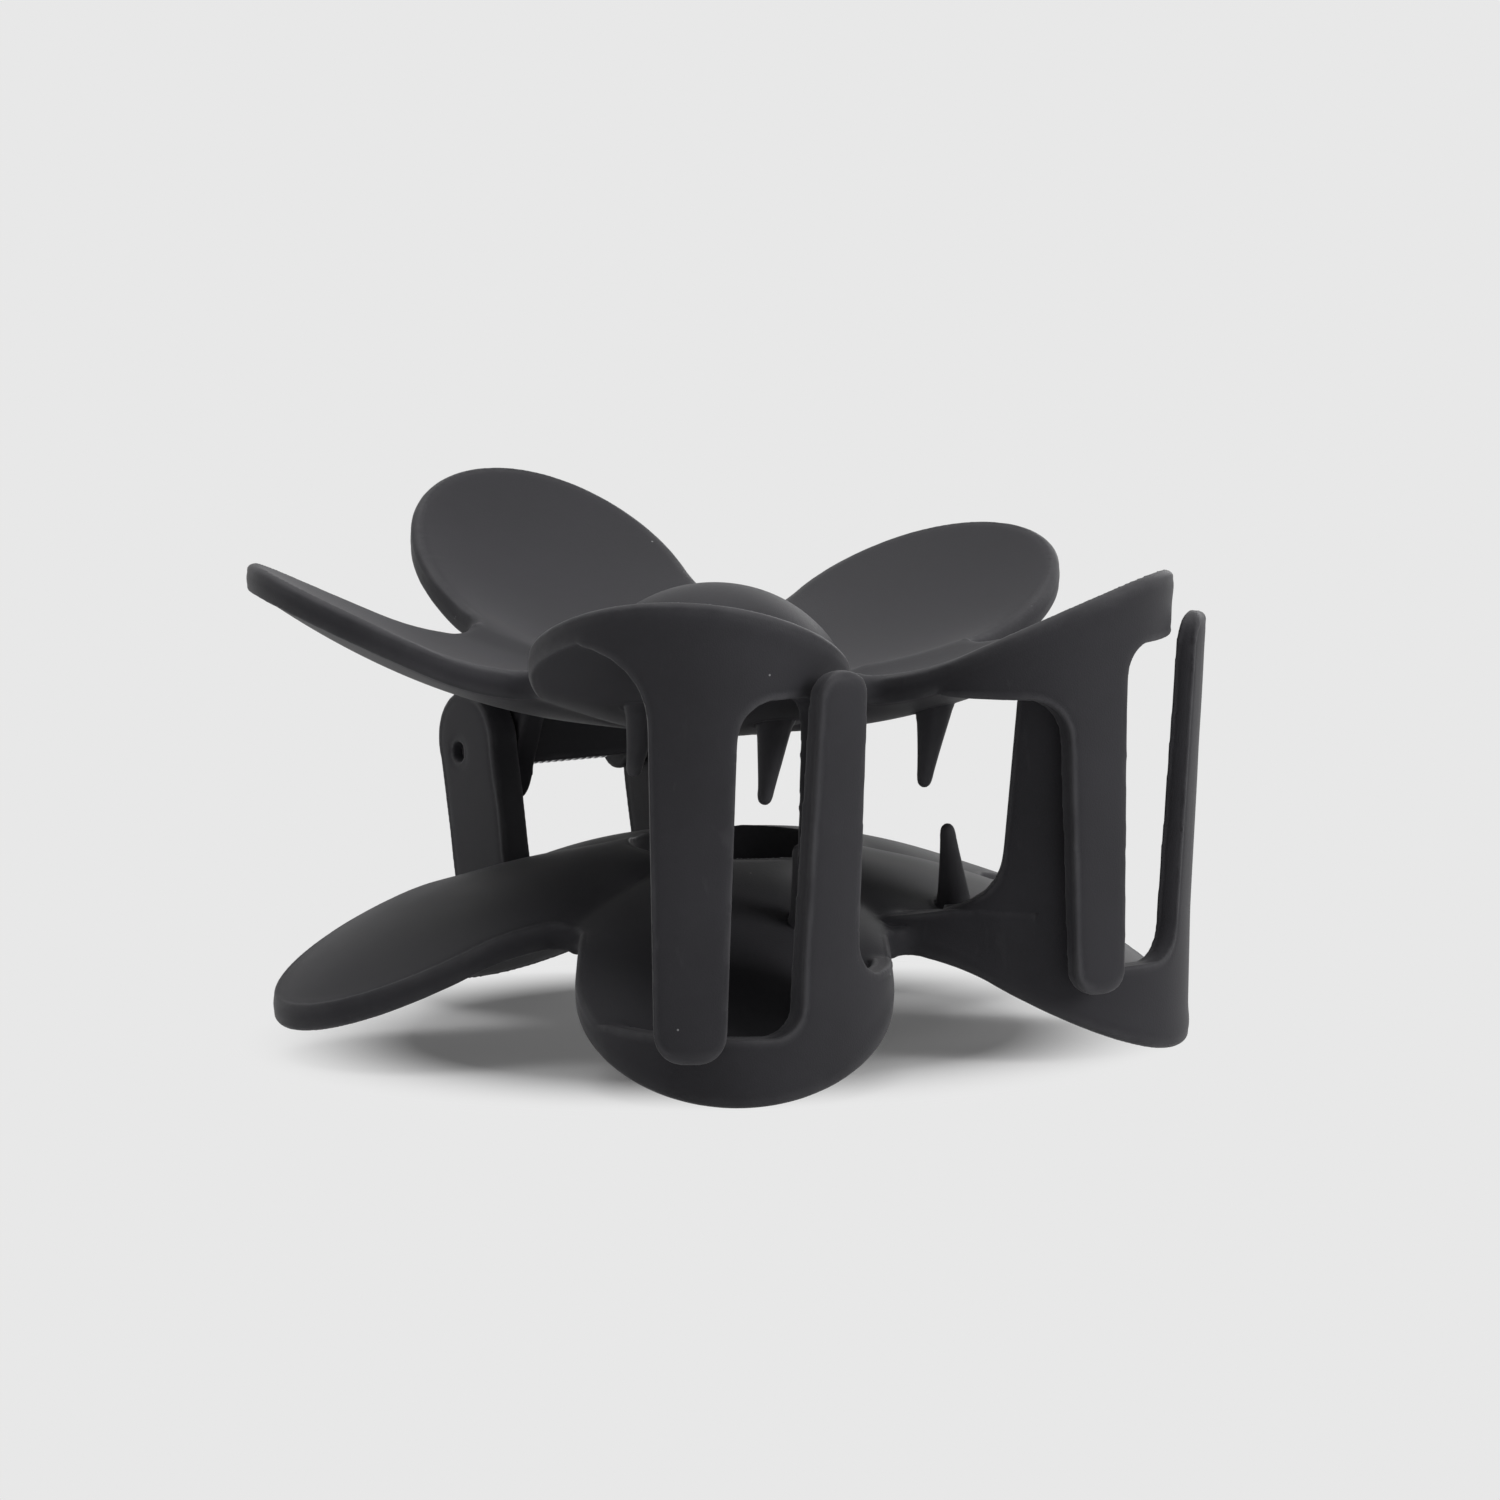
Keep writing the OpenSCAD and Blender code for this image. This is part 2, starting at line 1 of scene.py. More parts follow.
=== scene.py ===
# %% [markdown]
# # A flower claw clip
# A claw clip is two jaws on a sprung hinge. Here each jaw is a flower of five petals: one petal is pressed
# by a finger, two carry the claws, and two are plain. The solids come first, as a fixed frame in metres.
# Every piece made below goes where its solid is, so nothing has to be fitted by eye.

# %% Load the frame
import json
import math

import bmesh
import bpy
from mathutils import Matrix, Vector


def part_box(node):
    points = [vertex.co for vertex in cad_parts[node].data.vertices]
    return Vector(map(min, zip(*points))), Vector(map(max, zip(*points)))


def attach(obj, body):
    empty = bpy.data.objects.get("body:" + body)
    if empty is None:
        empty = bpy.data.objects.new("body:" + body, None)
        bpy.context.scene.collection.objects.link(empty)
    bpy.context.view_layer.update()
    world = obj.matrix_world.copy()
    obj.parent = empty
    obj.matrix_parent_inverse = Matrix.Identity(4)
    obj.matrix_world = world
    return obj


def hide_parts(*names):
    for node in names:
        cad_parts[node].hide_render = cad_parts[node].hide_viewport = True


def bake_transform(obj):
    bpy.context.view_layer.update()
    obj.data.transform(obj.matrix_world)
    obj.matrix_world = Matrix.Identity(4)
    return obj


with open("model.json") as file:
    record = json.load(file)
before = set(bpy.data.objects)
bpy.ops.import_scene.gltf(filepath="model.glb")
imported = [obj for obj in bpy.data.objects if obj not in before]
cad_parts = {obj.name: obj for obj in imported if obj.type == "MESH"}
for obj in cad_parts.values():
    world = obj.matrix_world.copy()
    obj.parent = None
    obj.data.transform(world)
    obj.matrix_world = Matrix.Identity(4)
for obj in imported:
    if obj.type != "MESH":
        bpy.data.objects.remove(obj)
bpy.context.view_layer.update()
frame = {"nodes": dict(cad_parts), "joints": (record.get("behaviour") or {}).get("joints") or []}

# %% [markdown]
# ## Where the clip lies
# The clip is drawn about the centre of its flowers and then laid on the floor, where it rests on one press
# petal and two claw petals. That tips it by a small angle. The hinge's place in the record gives the lift
# exactly, so only the tip and the hinge's distance from the flower's centre are written here.

# %% Resting place
mm = 0.001
rest_tip = math.radians(2.62656)
hinge_y = 26.1 * mm
hinge = Vector(frame["joints"][0]["pos_m"])
lay = Matrix.Rotation(rest_tip, 4, "X")
lay.translation = hinge - lay @ Vector((0, hinge_y, 0))
print("the flowers' centre lies at", [round(v, 5) for v in lay.translation])

# %% [markdown]
# ## The camera
# A long lens from low down and a little to one side, as in the photograph. Its place is written in the
# clip's own frame, round the flowers' centre, and then laid on the floor with the clip. A small shift puts
# the clip where the photograph has it, without turning the camera.

# %% Camera
photo_px = 1500
lens_px = 5572.4
sensor_mm = 36
turn = math.radians(-34.212)
rise = math.radians(8.794)
roll = math.radians(0.589)
distance = 483.3 * mm
centre_px = (723.2, 781.1)

back = Vector((math.sin(turn) * math.cos(rise), -math.cos(turn) * math.cos(rise), math.sin(rise)))
across = (-back).cross(Vector((0, 0, 1))).normalized()
upright = across.cross(-back)
right = across * math.cos(roll) + upright * math.sin(roll)
up = upright * math.cos(roll) - across * math.sin(roll)
aim = Matrix((right, up, back)).transposed().to_4x4()
aim.translation = back * distance

lens = bpy.data.cameras.new("camera")
lens.sensor_width = sensor_mm
lens.lens = lens_px / photo_px * sensor_mm
lens.shift_x = (photo_px / 2 - centre_px[0]) / photo_px
lens.shift_y = (centre_px[1] - photo_px / 2) / photo_px
lens.clip_start = 0.01
lens.clip_end = 100
camera = bpy.data.objects.new("camera", lens)
camera.matrix_world = lay @ aim
bpy.context.scene.collection.objects.link(camera)
bpy.context.scene.camera = camera
print("lens", round(lens.lens, 1), "mm, camera at", [round(v, 3) for v in camera.matrix_world.translation])

# %% [markdown]
# ## Formulas as nodes
# A petal follows a rule: its outline is a round, its dish is a power curve, and its edge is a squared round.
# Geometry Nodes can work out such a rule for each point of a grid, but long chains of Math nodes are hard to
# read. This small class makes one Math node for each sign, so that a rule can be written as a formula. A few
# short words do the same for the functions that have no sign.

# %% Signs
class Formula:
    """A number that nodes work out for each point."""
    tree = None

    def __init__(self, socket):
        self.socket = socket

    @classmethod
    def step(cls, operation, *values):
        node = cls.tree.nodes.new("ShaderNodeMath")
        node.operation = operation
        for slot, value in zip(node.inputs, values):
            if isinstance(value, Formula):
                cls.tree.links.new(value.socket, slot)
            else:
                slot.default_value = value
        return Formula(node.outputs[0])

    def __add__(self, other):
        return self.step("ADD", self, other)

    def __radd__(self, other):
        return self.step("ADD", other, self)

    def __sub__(self, other):
        return self.step("SUBTRACT", self, other)

    def __rsub__(self, other):
        return self.step("SUBTRACT", other, self)

    def __mul__(self, other):
        return self.step("MULTIPLY", self, other)

    def __rmul__(self, other):
        return self.step("MULTIPLY", other, self)

    def __truediv__(self, other):
        return self.step("DIVIDE", self, other)

    def __pow__(self, other):
        return self.step("POWER", self, other)


print("signs ready: + - * / **")


# %% Words
def cos(a):
    return Formula.step("COSINE", a)


def sin(a):
    return Formula.step("SINE", a)


def root(a):
    return Formula.step("SQRT", a)


def larger(a, b):
    return Formula.step("MAXIMUM", a, b)


def smaller(a, b):
    return Formula.step("MINIMUM", a, b)


def after(a, b):
    """1 where a is past b, and 0 elsewhere."""
    return Formula.step("GREATER_THAN", a, b)


def pick(share, a, b):
    """a where share is 0, and b where it is 1."""
    return a + (b - a) * share


def length(x, y):
    return root(x * x + y * y)


def turned(x, y, a):
    return x * cos(a) - y * sin(a), x * sin(a) + y * cos(a)


words = (cos, sin, root, larger, smaller, after, pick, length, turned)
print("words ready:", [word.__name__ for word in words])

# %% [markdown]
# ## Trees from Python
# A tree takes its sizes as named inputs, so the same tree could be used by hand on another object. The
# modifier wants each input by its identifier. After the tree has run, its result becomes a plain mesh, because
# a pose and an export need a mesh that nothing changes any more.

# %% Tree helpers
def socket_kind(value):
    if isinstance(value, bpy.types.Object):
        return "NodeSocketObject"
    return "NodeSocketInt" if isinstance(value, int) else "NodeSocketFloat"


def new_tree(name, sizes, takes_mesh=False):
    """A Geometry Nodes tree with named sizes; returns the tree, its inputs as formulas and its input node."""
    tree = bpy.data.node_groups.new(name, "GeometryNodeTree")
    if takes_mesh:
        tree.interface.new_socket("Mesh", in_out="INPUT", socket_type="NodeSocketGeometry")
    for label, value in sizes.items():
        tree.interface.new_socket(label, in_out="INPUT", socket_type=socket_kind(value))
    tree.interface.new_socket("Mesh", in_out="OUTPUT", socket_type="NodeSocketGeometry")
    source = tree.nodes.new("NodeGroupInput")
    Formula.tree = tree
    return tree, {label: Formula(source.outputs[label]) for label in sizes}, source


def add(tree, kind, links=None, **settings):
    """Adds a node, with its settings and the sockets or values that go into it."""
    node = tree.nodes.new(kind)
    for key, value in settings.items():
        setattr(node, key, value)
    for slot, value in (links or {}).items():
        if isinstance(value, Formula):
            value = value.socket
        if isinstance(value, bpy.types.NodeSocket):
            tree.links.new(value, node.inputs[slot])
        else:
            node.inputs[slot].default_value = value
    return node


def plain_mesh(piece):
    """A new mesh with the piece's modifiers worked in."""
    graph = bpy.context.evaluated_depsgraph_get()
    return bpy.data.meshes.new_from_object(piece.evaluated_get(graph))


def run_tree(tree, sizes, name, mesh=None):
    """Runs a tree on an object of that name and leaves a plain mesh, with no modifier."""
    piece = bpy.data.objects.new(name, mesh or bpy.data.meshes.new(name))
    bpy.context.scene.collection.objects.link(piece)
    nodes = piece.modifiers.new("rule", "NODES")
    nodes.node_group = tree
    sockets = {s.name: s.identifier for s in tree.interface.items_tree if s.in_out == "INPUT"}
    for label, value in sizes.items():
        nodes[sockets[label]] = value
    made = plain_mesh(piece)
    piece.modifiers.clear()
    piece.data = made
    made.name = name
    return piece


def triangles(piece):
    return sum(len(face.vertices) - 2 for face in piece.data.polygons)


print("tree helpers ready")

# %% [markdown]
# ## The flower's rule
# The five petals, the rounds between them and the dome in the middle are one smooth sheet: a turned bowl, cut
# to the outline of the petals. A mesh could be modelled by hand and subdivided, but the sheet has a rule, so
# a grid is bent by it: one way along the grid runs round the outline, and the other from the middle over the
# rim and back underneath. The result is not a piece itself. It is a guide as fine as wanted, and the jaws'
# skins settle on it further down.

# %% Flower tree
flower_sizes = {
    "Petal tip": 40.66 * mm,
    "Petal round": 13.2 * mm,
    "Flank turn": math.radians(92),
    "Notch round": 2.0 * mm,
    "Petal thickness": 2.5 * mm,
    "Rim round": 0.9 * mm,
    "Rim square": 0.6,
    "Plain tip height": 19.6 * mm,
    "Claw tip height": 20.5 * mm,
    "Press tip height": 23.8 * mm,
    "Hub height": 7.4 * mm,
    "Dish power": 2.3,
    "Dome height": 17.3 * mm,
    "Dome radius": 11.5 * mm,
    "Dome wall": 2.6 * mm,
    "Dome foot": 1.6 * mm,
    "Columns": 501,
    "Rings": 141,
}
petals = 5
petal_turn = 2 * math.pi / petals

tree, size, source = new_tree("flower_rule", flower_sizes)
grid = add(tree, "GeometryNodeMeshGrid", {
    "Size X": 1.0, "Size Y": 1.0, "Vertices X": size["Columns"], "Vertices Y": size["Rings"]})
place = add(tree, "ShaderNodeSeparateXYZ", {0: add(tree, "GeometryNodeInputPosition").outputs[0]})
round_way = (Formula(place.outputs["X"]) + 0.5) * petals
section_way = Formula(place.outputs["Y"]) + 0.5
print("flower tree:", len(flower_sizes), "sizes")

# %% [markdown]
# ### The outline
# The way round one petal has four parts: a straight flank, the round tip, the other flank, and the small round
# of the notch before the next petal. The parts take fixed shares of the way, so that every petal gets the same
# columns of the grid.

# %% Outline of the petals
press_petal = 0
first_claw = 2
last_claw = 3
flank_share = 0.1
notch_from = 0.8
arc_share = notch_from - 2 * flank_share
seam_slack = 0.0001


def tip_height(petal):
    petal = Formula.step("FLOORED_MODULO", petal, petals)
    is_claw = after(petal, first_claw - 0.5) * after(last_claw + 0.5, petal)
    is_press = after(press_petal + 0.5, petal)
    height = pick(is_claw, size["Plain tip height"], size["Claw tip height"])
    return pick(is_press, height, size["Press tip height"])


petal = Formula.step("FLOOR", round_way + seam_slack)
way = larger(round_way - petal, 0)
in_notch = after(way, notch_from)
petal_middle = size["Petal tip"] - size["Petal round"]
flank_x = cos(size["Flank turn"])
flank_y = sin(size["Flank turn"])
notch_round = size["Notch round"]
notch_reach = petal_middle * flank_x + size["Petal round"] + notch_round
notch_far = notch_reach / cos(size["Flank turn"] - petal_turn / 2)
notch_x = notch_far * math.cos(petal_turn / 2)
notch_y = notch_far * math.sin(petal_turn / 2)
flank_long = (petal_middle - notch_x) * flank_y + notch_y * flank_x

side = larger(smaller((way - flank_share) * (2 / arc_share) - 1, 1), -1)
petal_angle = size["Flank turn"] * side
first_flank = larger(1 - way / flank_share, 0)
last_flank = larger((way - notch_from) / flank_share + 1, 0)
on_flank = (first_flank + last_flank) * flank_long
petal_x = petal_middle + size["Petal round"] * cos(petal_angle) - on_flank * flank_y
petal_y = size["Petal round"] * sin(petal_angle) + on_flank * flank_x * side

notch_share = (way - notch_from) / (1 - notch_from)
notch_middle = petal_turn / 2 + math.pi
notch_angle = notch_middle + (size["Flank turn"] + math.pi - notch_middle) * (1 - 2 * notch_share)
notch_ease = notch_share * notch_share * (3 - 2 * notch_share)
notch_tip = pick(notch_ease, tip_height(petal), tip_height(petal + 1))

spin = petal * petal_turn + math.pi / 2
rim_x, rim_y = turned(pick(in_notch, petal_x, notch_x + notch_round * cos(notch_angle)),
                      pick(in_notch, petal_y, notch_y + notch_round * sin(notch_angle)), spin)
out_angle = spin + pick(in_notch, petal_angle, notch_angle + math.pi)
tip = pick(in_notch, tip_height(petal), notch_tip)
print("outline:", len(tree.nodes), "nodes")

# %% [markdown]
# ### The section
# From the middle outwards the sheet is the dome, blended into the dish. Then it turns over the squared rim and
# runs back underneath, where the dome is hollow. The top and the underside take the same share of the grid's
# rings, and the rim takes the rest.

# %% Section from the middle over the rim and back
top_share = 0.45
edge_x = rim_x - size["Rim round"] * cos(out_angle)
edge_y = rim_y - size["Rim round"] * sin(out_angle)
reach = length(edge_x, edge_y)
dome_rise = size["Dome height"] - size["Hub height"]
core_round = size["Dome radius"] - size["Dome wall"]


def dish(far):
    share = far / (size["Petal tip"] - size["Rim round"])
    return size["Hub height"] + (tip - size["Hub height"]) * share ** size["Dish power"]


def cap(far, foot, height):
    share = far / foot
    return height * root(larger(1 - share * share, 0))


def squared(v):
    return Formula.step("SIGN", v) * Formula.step("ABSOLUTE", v) ** size["Rim square"]


top_way = smaller(section_way / top_share, 1)
top_dish = dish(reach * top_way)
dome = size["Hub height"] + cap(reach * top_way, size["Dome radius"], dome_rise)
step_up = top_dish - dome
top_z = (top_dish + dome + root(step_up * step_up + size["Dome foot"] * size["Dome foot"])) / 2

under_way = smaller((1 - section_way) / top_share, 1)
core = cap(reach * under_way, core_round, dome_rise * core_round / size["Dome radius"])
under_z = dish(reach * under_way) - size["Petal thickness"] + core

rim_way = smaller(larger((section_way - top_share) / (1 - 2 * top_share), 0), 1)
rim_angle = (0.5 - rim_way) * math.pi
half_t = size["Petal thickness"] / 2
lip = size["Rim round"] * squared(cos(rim_angle))
lip_z = dish(reach) - half_t + half_t * squared(sin(rim_angle))
print("section:", len(tree.nodes), "nodes")

# %% Flower guide
grid_weld = 0.005 * mm
in_rim = after(section_way, top_share)
is_under = after(section_way, 1 - top_share)
share = pick(is_under, top_way, under_way)
bent = add(tree, "ShaderNodeCombineXYZ", {
    "X": edge_x * share + lip * cos(out_angle) * in_rim * (1 - is_under),
    "Y": edge_y * share + lip * sin(out_angle) * in_rim * (1 - is_under),
    "Z": pick(is_under, pick(in_rim, top_z, lip_z), under_z)})
moved = add(tree, "GeometryNodeSetPosition", {"Geometry": grid.outputs["Mesh"], "Position": bent.outputs[0]})
closed = add(tree, "GeometryNodeMergeByDistance", {"Geometry": moved.outputs[0], "Distance": grid_weld})
smooth = add(tree, "GeometryNodeSetShadeSmooth", {"Geometry": closed.outputs[0]})
add(tree, "NodeGroupOutput", {0: smooth.outputs[0]})
flower = run_tree(tree, flower_sizes, "flower_guide")

outward = bmesh.new()
outward.from_mesh(flower.data)
bmesh.ops.recalc_face_normals(outward, faces=outward.faces)
outward.to_mesh(flower.data)
outward.free()
print("flower guide:", len(tree.nodes), "nodes,", triangles(flower), "triangles,",
      [round(v / mm, 2) for v in flower.dimensions], "mm")

# %% [markdown]
# ## Two flowers, staggered
# The two jaws are the same flower, back to back. Each is turned a little and shifted a little the opposite
# way to the other, so that their claws pass beside each other. The lower one is turned half round. A jaw's
# skin is made in the flower's own frame, where the rule is plain, and is then put in its place.

# %% Places of the flowers
stagger_shift = -1.0 * mm
stagger_turn = math.radians(-2.4)
stagger = Matrix.Translation((stagger_shift, 0, 0)) @ Matrix.Rotation(stagger_turn, 4, "Z")
places = {"upper_jaw": lay @ stagger, "lower_jaw": lay @ Matrix.Rotation(math.pi, 4, "Y") @ stagger}
print("places:", sorted(places))

# %% [markdown]
# ## Soft-touch plastic
# Both jaws are moulded in one charcoal plastic with a dull, faintly velvety skin. Close up it has a very fine
# grain, its tone drifts a little from place to place, its edges are paler, partly where they have been rubbed
# and partly as a painted highlight along the rims, and a little dust and a few scuffs lie on it. Each of these
# is a small chain of nodes on the piece's own coordinates, so the same finish holds from every side.

# %% Material helpers
def new_material(name):
    """A material with nodes; returns it, its tree, its main shader and the piece's own coordinates."""
    material = bpy.data.materials.new(name)
    material.use_nodes = True
    tree = material.node_tree
    shader = tree.nodes["Principled BSDF"]
    coords = add(tree, "ShaderNodeTexCoord").outputs["Object"]
    return material, tree, shader, coords


def spread(tree, value, low, high, to_low=0.0, to_high=1.0):
    """Spreads the values from low to high over a new range, and holds them at its ends."""
    node = add(tree, "ShaderNodeMapRange", {"Value": value, "From Min": low, "From Max": high,
                                            "To Min": to_low, "To Max": to_high})
    return node.outputs["Result"]


def mixed(tree, share, first, second):
    """The first colour where share is 0, and the second where it is 1."""
    node = add(tree, "ShaderNodeMix", data_type="RGBA")
    sockets = {s.identifier: s for s in node.inputs}
    for key, value in (("Factor_Float", share), ("A_Color", first), ("B_Color", second)):
        if isinstance(value, bpy.types.NodeSocket):
            tree.links.new(value, sockets[key])
        else:
            sockets[key].default_value = value
    return next(s for s in node.outputs if s.identifier == "Result_Color")


def times(tree, a, b):
    return add(tree, "ShaderNodeMath", {0: a, 1: b}, operation="MULTIPLY").outputs[0]


print("material helpers ready")

# %% Charcoal tone
charcoal_deep = (0.0282, 0.0275, 0.0310, 1)
charcoal = (0.0362, 0.0353, 0.0400, 1)

plastic, tree, shader, coords = new_material("soft_touch_plastic")
drift = add(tree, "ShaderNodeTexNoise", {"Vector": coords, "Scale": 70.0, "Detail": 4.0, "Roughness": 0.6})
tone = mixed(tree, spread(tree, drift.outputs["Fac"], low=0.3, high=0.7), charcoal_deep, charcoal)
print("tone:", len(tree.nodes), "nodes")

# %% Rubbed edges with painted highlight, and scuffs
# Pale tone for rubbed edges and scuffs; along the edges it also stands in for light catching the rims, a
# painted highlight.
pale_wear_and_highlight = (0.090, 0.089, 0.094, 1)

edge_standout = add(tree, "ShaderNodeAttribute", attribute_name="edge")
patchy = add(tree, "ShaderNodeTexNoise", {"Vector": coords, "Scale": 260.0, "Detail": 3.0})
# Edges turn paler the more they stand out: partly wear, partly a painted rim highlight.
rub_and_highlight_share = times(tree, spread(tree, edge_standout.outputs["Fac"], low=0.12, high=0.6, to_high=0.55),
                  spread(tree, patchy.outputs["Fac"], low=0.3, high=0.65, to_low=0.35))
tone = mixed(tree, rub_and_highlight_share, tone, pale_wear_and_highlight)

scuff_coords = add(tree, "ShaderNodeMapping", {
    "Vector": coords, "Rotation": (0.4, 0.3, 0.7), "Scale": (60.0, 1500.0, 300.0)})
scuffs = add(tree, "ShaderNodeTexNoise", {"Vector": scuff_coords.outputs[0], "Scale": 1.0, "Detail": 2.0})
scuff_places = add(tree, "ShaderNodeTexNoise", {"Vector": coords, "Scale": 45.0, "Detail": 1.0})
scuff_share = times(tree, spread(tree, scuffs.outputs["Fac"], low=0.62, high=0.74, to_high=0.2),
                    spread(tree, scuff_places.outputs["Fac"], low=0.58, high=0.7))
tone = mixed(tree, scuff_share, tone, pale_wear_and_highlight)
print("rubbed edges and scuffs:", len(tree.nodes), "nodes")

# %% Dust, dull skin and grain
dust_grey = (0.32, 0.32, 0.33, 1)

specks = add(tree, "ShaderNodeTexVoronoi", {"Vector": coords, "Scale": 420.0})
speck_pick = add(tree, "ShaderNodeSeparateColor", {0: specks.outputs["Color"]})
speck_round = spread(tree, specks.outputs["Distance"], low=0.03, high=0.05, to_low=0.7, to_high=0.0)
speck_share = times(tree, speck_round, spread(tree, speck_pick.outputs["Red"], low=0.86, high=0.88))
tone = mixed(tree, speck_share, tone, dust_grey)
tree.links.new(tone, shader.inputs["Base Color"])

dull = spread(tree, drift.outputs["Fac"], low=0.3, high=0.7, to_low=0.50, to_high=0.58)
tree.links.new(dull, shader.inputs["Roughness"])
shader.inputs["Specular IOR Level"].default_value = 0.10
shader.inputs["Sheen Weight"].default_value = 0.06
shader.inputs["Sheen Roughness"].default_value = 0.5

grain = add(tree, "ShaderNodeTexNoise", {"Vector": coords, "Scale": 7000.0, "Detail": 2.0})
grain_bump = add(tree, "ShaderNodeBump", {
    "Height": grain.outputs["Fac"], "Strength": 0.45, "Distance": 0.03 * mm})
tree.links.new(grain_bump.outputs[0], shader.inputs["Normal"])
print("plastic:", len(tree.nodes), "nodes")

# %% [markdown]
# ## The jaws' skins
# A jaw is one moulding, so it has no seams: walls, prongs, teeth and hinge lugs run into the petals with
# small rounds. A bevel on every edge of the solid would trip over its many small faces. Instead the solid is
# wrapped in an even skin of small squares that keeps its edges straight, and a tree then works on that skin.
# First, the squares that lie along a petal, close to it and facing the same way, settle on the flower's rule.

# %% Settling on the flower
skin_sizes = {
    "Flower": flower,
    "Settle reach": 0.3 * mm,
    "Crease height": 1.2 * mm,
    "Rounding": 6,
    "Edge width": 30,
    "Edge height": 0.25 * mm,
    "Step height": 0.14 * mm,
}
settle_core = 0.6
facing_from = 0.7
facing_full = 0.9


def eased(tree, value, low, high):
    """Rises softly from 0 to 1 as the value goes from low to high."""
    node = add(tree, "ShaderNodeMapRange", {"Value": value, "From Min": low, "From Max": high},
               interpolation_type="SMOOTHSTEP")
    return Formula(node.outputs["Result"])


def between(tree, share, first, second):
    """The first place where share is 0, and the second where it is 1."""
    node = add(tree, "ShaderNodeMix", data_type="VECTOR")
    sockets = {s.identifier: s for s in node.inputs}
    for key, value in (("Factor_Float", share.socket), ("A_Vector", first), ("B_Vector", second)):
        tree.links.new(value, sockets[key])
    return next(s for s in node.outputs if s.identifier == "Result_Vector")


tree, size, source = new_tree("jaw_skin", skin_sizes, takes_mesh=True)
rule = add(tree, "GeometryNodeObjectInfo", {"Object": size["Flower"]}).outputs["Geometry"]
spot = add(tree, "GeometryNodeInputPosition").outputs[0]
facing = add(tree, "GeometryNodeInputNormal").outputs[0]
nearest = add(tree, "GeometryNodeProximity", {0: rule}, target_element="FACES")
gap = Formula(nearest.outputs["Distance"])
rule_facing = add(tree, "GeometryNodeSampleNearestSurface", {"Mesh": rule, "Value": facing},
                  data_type="FLOAT_VECTOR").outputs["Value"]
alike = add(tree, "ShaderNodeVectorMath", {0: facing, 1: rule_facing}, operation="DOT_PRODUCT")
near = 1 - eased(tree, gap, size["Settle reach"] * settle_core, size["Settle reach"])
settle = near * eased(tree, alike.outputs["Value"], facing_from, facing_full)
settled_spot = between(tree, settle, spot, nearest.outputs["Position"])
skin = add(tree, "GeometryNodeSetPosition", {"Geometry": source.outputs["Mesh"], "Position": settled_spot})
print("settling:", len(tree.nodes), "nodes")

# %% [markdown]
# ### Creases between the petals
# Each petal of the real clip has its own dish, with a soft crease where two of them meet. A cut in the mesh
# would be sharp, so the sheet is lifted instead, most along the line between two petals and not at all along a
# petal's middle. The lift fades out towards the dome, towards the rim, and away from the sheet.

# %% Crease lift
crease_inner = (8 * mm, 14 * mm)
crease_outer = (22 * mm, 30 * mm)
crease_depth = (1.3 * mm, 3.5 * mm)
crease_power = 3

spot_axes = add(tree, "ShaderNodeSeparateXYZ", {0: spot})
x = Formula(spot_axes.outputs["X"])
y = Formula(spot_axes.outputs["Y"])
away = length(x, y)
bearing = Formula.step("ARCTAN2", y, x) - math.pi / 2 + 2 * math.pi
off_axis = Formula.step("ABSOLUTE", bearing - Formula.step("ROUND", bearing / petal_turn) * petal_turn)
ridge = (off_axis / (petal_turn / 2)) ** crease_power
ridge = ridge * eased(tree, away, *crease_inner) * (1 - eased(tree, away, *crease_outer))
ridge = ridge * (1 - eased(tree, gap, *crease_depth))
lift = add(tree, "ShaderNodeCombineXYZ", {"Z": ridge * size["Crease height"]})
skin = add(tree, "GeometryNodeSetPosition", {"Geometry": skin.outputs[0], "Offset": lift.outputs[0]})
print("creases:", len(tree.nodes), "nodes")

# %% [markdown]
# ### Rounds, rubbed and highlit edges, and level steps
# A short blur of the places rounds every edge, as a mould does. A longer blur says how far each point stands
# out from its surroundings. That gives the paler tone on its edges, partly rubbing and partly a painted
# highlight, and where a point stands out too little for a real edge, it is levelled.

# %% Rounding and levelling
level_from = 0.5

rounded_spot = add(tree, "GeometryNodeBlurAttribute", {"Value": spot, "Iterations": size["Rounding"]},
                   data_type="FLOAT_VECTOR").outputs[0]
skin = add(tree, "GeometryNodeSetPosition", {"Geometry": skin.outputs[0], "Position": rounded_spot})

level_spot = add(tree, "GeometryNodeBlurAttribute", {"Value": spot, "Iterations": size["Edge width"]},
                 data_type="FLOAT_VECTOR").outputs[0]
stands_out = add(tree, "ShaderNodeVectorMath", {0: spot, 1: level_spot}, operation="SUBTRACT").outputs[0]
height = add(tree, "ShaderNodeVectorMath", {0: stands_out, 1: facing}, operation="DOT_PRODUCT")
edge = Formula(height.outputs["Value"]) / size["Edge height"]
marked = add(tree, "GeometryNodeStoreNamedAttribute", {
    "Geometry": skin.outputs[0], "Name": "edge", "Value": edge}, data_type="FLOAT", domain="POINT")

step = add(tree, "ShaderNodeVectorMath", {0: stands_out}, operation="LENGTH").outputs["Value"]
is_edge = eased(tree, step, size["Step height"] * level_from, size["Step height"])
level = between(tree, is_edge, level_spot, spot)
skin = add(tree, "GeometryNodeSetPosition", {"Geometry": marked.outputs[0], "Position": level})
smooth = add(tree, "GeometryNodeSetShadeSmooth", {"Geometry": skin.outputs[0]})
real = add(tree, "GeometryNodeRealizeInstances", {0: smooth.outputs[0]})
dressed = add(tree, "GeometryNodeSetMaterial", {"Geometry": real.outputs[0], "Material": plastic})
add(tree, "NodeGroupOutput", {0: dressed.outputs[0]})
print("skin tree:", len(tree.nodes), "nodes")

